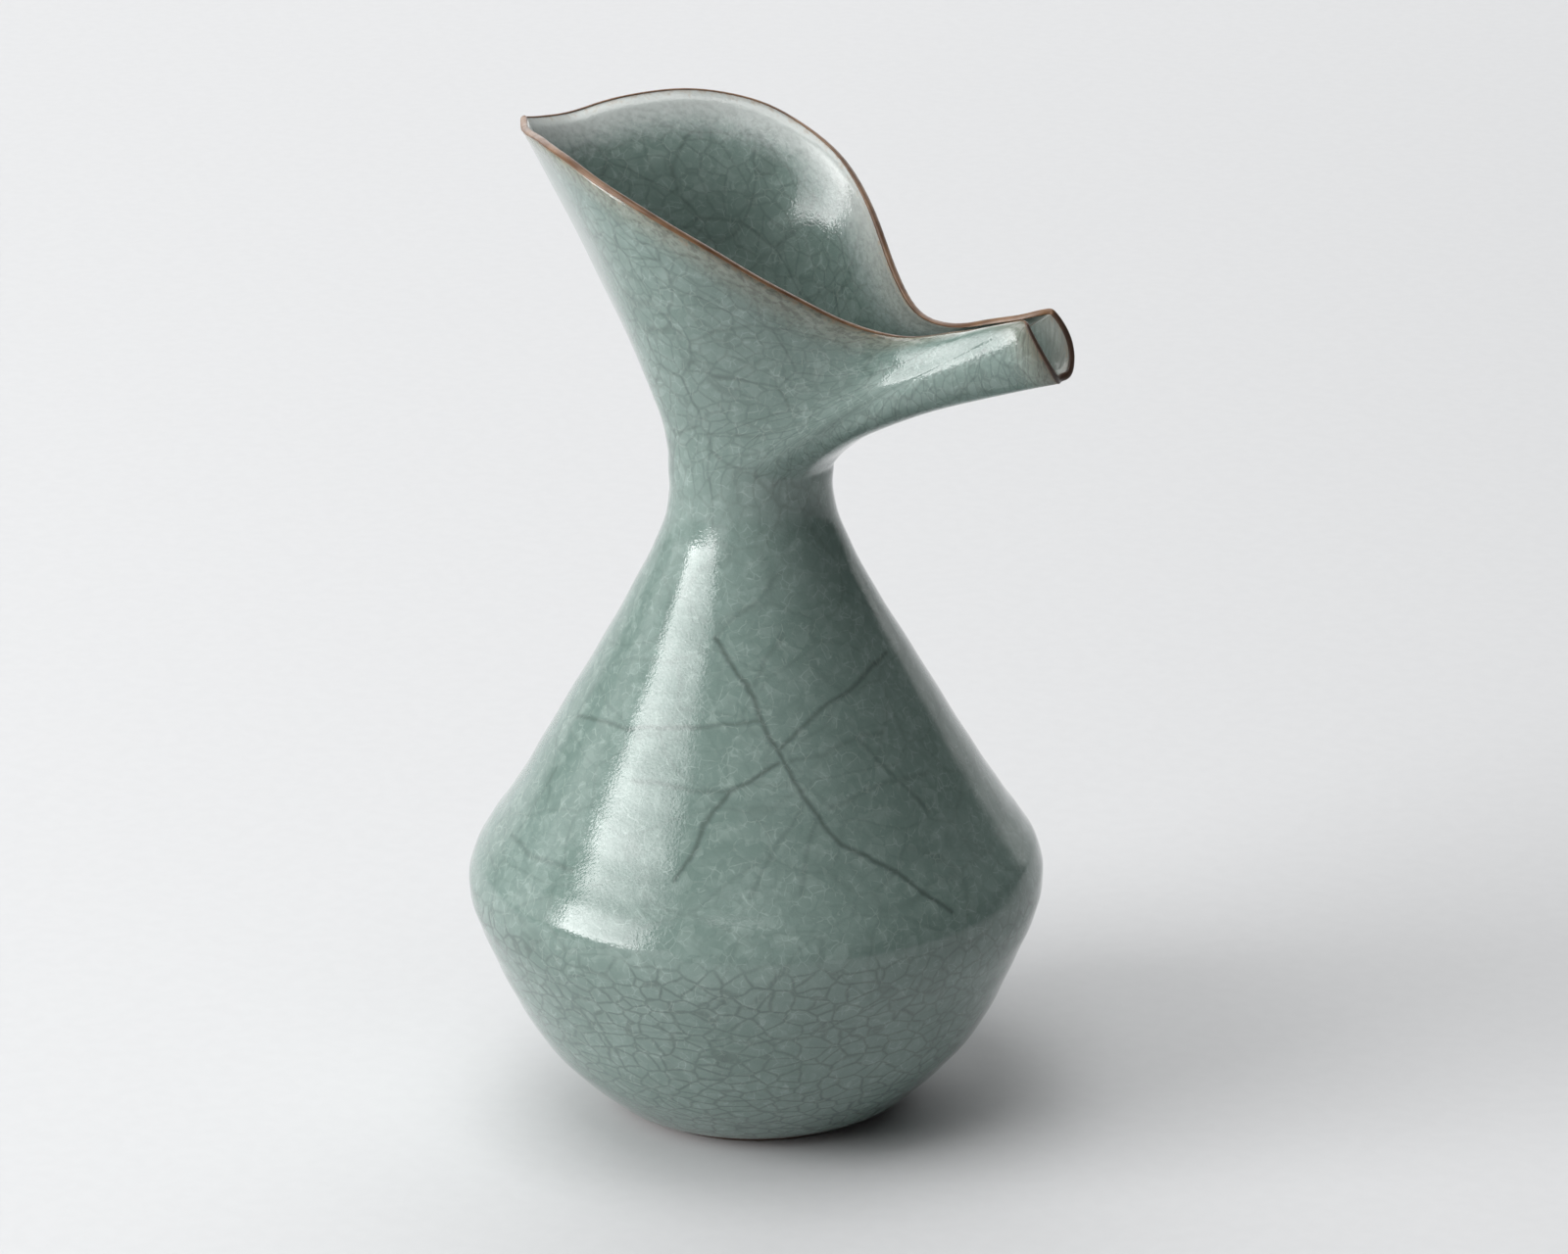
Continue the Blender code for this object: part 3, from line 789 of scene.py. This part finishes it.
def area_light(name, azimuth, elevation, distance, size, radiance, fade=None):
    """A soft box seen from the bottle at that azimuth (0 towards the camera, + to its right).

    radiance is its brightness, with 1 for a white surface.  fade, if given, is the share of it at the
    two sides and then at the two ends of the box.
    """
    light = bpy.data.lights.new(name, "AREA")
    light.shape = "RECTANGLE"
    light.size, light.size_y = size
    light.energy = radiance * math.pi * size[0] * size[1]
    if fade is not None:
        light.use_nodes = True
        tree = light.node_tree
        emission = tree.nodes["Emission"]
        across = tree.nodes.new("ShaderNodeNewGeometry")
        split = tree.nodes.new("ShaderNodeSeparateXYZ")
        both = tree.nodes.new("ShaderNodeMath")
        both.operation = "MULTIPLY"
        tree.links.new(across.outputs["Parametric"], split.inputs[0])
        for axis, ends in enumerate(fade):
            ramp = tree.nodes.new("ShaderNodeMapRange")
            ramp.interpolation_type = "SMOOTHSTEP"
            ramp.inputs["To Min"].default_value, ramp.inputs["To Max"].default_value = ends
            tree.links.new(split.outputs[axis], ramp.inputs["Value"])
            tree.links.new(ramp.outputs["Result"], both.inputs[axis])
        tree.links.new(both.outputs[0], emission.inputs["Strength"])
    made = bpy.data.objects.new(name, light)
    bpy.context.scene.collection.objects.link(made)
    az, el = math.radians(azimuth), math.radians(elevation)
    x, y = turned_to_view(math.sin(az) * math.cos(el) * distance, -math.cos(az) * math.cos(el) * distance)
    made.location = (x, y, LIGHT_AIM + distance * math.sin(el))
    aim = Vector((0.0, 0.0, LIGHT_AIM)) - made.location
    made.rotation_euler = aim.to_track_quat("-Z", "Y").to_euler()
    return made


LIGHT_AIM = 0.09       # height that every light points at
studio_sweep()
area_light("soft_box_left", -67.0, 31.0, 1.8, (1.22, 1.50), 15.5, fade=((1.0, 0.60), (1.0, 0.06)))
area_light("low_left", -100.0, 12.0, 1.6, (0.8, 0.5), 1.1)
area_light("low_front_left", -48.0, 8.0, 1.6, (0.8, 0.5), 1.8)
area_light("top_panel", -60.0, 80.0, 1.3, (1.2, 0.9), 3.2)
area_light("top_strip_front", -10.0, 56.0, 1.3, (0.55, 0.30), 1.5)
area_light("back_panel", 180.0, 32.0, 1.5, (2.4, 1.2), 1.7)
area_light("back_panel_low", 180.0, 8.0, 1.7, (3.4, 0.6), 0.75)

world = bpy.data.worlds.new("studio_room")
bpy.context.scene.world = world
world.use_nodes = True
world.node_tree.nodes["Background"].inputs["Color"].default_value = (0.9, 0.95, 1.0, 1.0)
world.node_tree.nodes["Background"].inputs["Strength"].default_value = 0.03

# ------------------------------------------------------------------------------------- the camera
# A long lens about a metre away, looking down 19 degrees.  The point of the turning axis at
# AIM_HEIGHT lies AIM_RIGHT to the right of the middle of the view and AIM_UP above it.
camera_data = bpy.data.cameras.new("camera")
camera_data.lens = 135.0
camera_data.sensor_width = 36.0
camera_data.clip_end = 20.0
camera = bpy.data.objects.new("camera", camera_data)
bpy.context.scene.collection.objects.link(camera)
PITCH = math.radians(19.17)
ROLL = math.radians(-0.64)
DISTANCE = 1000.0
AIM_HEIGHT = 60.0
AIM_RIGHT = -4.9433
AIM_UP = -23.5517
forward = np.array([0.0, math.cos(PITCH), -math.sin(PITCH)])
right = np.array([1.0, 0.0, 0.0])
up = np.cross(right, forward)
roll = np.array([
    [math.cos(ROLL), math.sin(ROLL), 0.0], [-math.sin(ROLL), math.cos(ROLL), 0.0], [0.0, 0.0, 1.0],
])
seen = roll @ np.array([right, up, forward])
offset = np.array([AIM_RIGHT, AIM_UP, DISTANCE])
eye = np.array([0.0, 0.0, AIM_HEIGHT]) - seen.T @ offset
spin = np.array([
    [math.cos(AZIMUTH), -math.sin(AZIMUTH), 0.0],
    [math.sin(AZIMUTH), math.cos(AZIMUTH), 0.0],
    [0.0, 0.0, 1.0],
])
eye = (spin @ eye + (AXIS_X, 0.0, 0.0)) * MM
axes = [spin @ axis for axis in seen]
basis = np.column_stack([axes[0], axes[1], -axes[2]])
matrix = np.eye(4)
matrix[:3, :3] = basis
matrix[:3, 3] = eye
camera.matrix_world = Matrix(matrix.tolist())
bpy.context.scene.camera = camera
bpy.context.scene.view_settings.view_transform = "Standard"
bpy.context.scene.view_settings.look = "None"

bpy.context.view_layer.update()
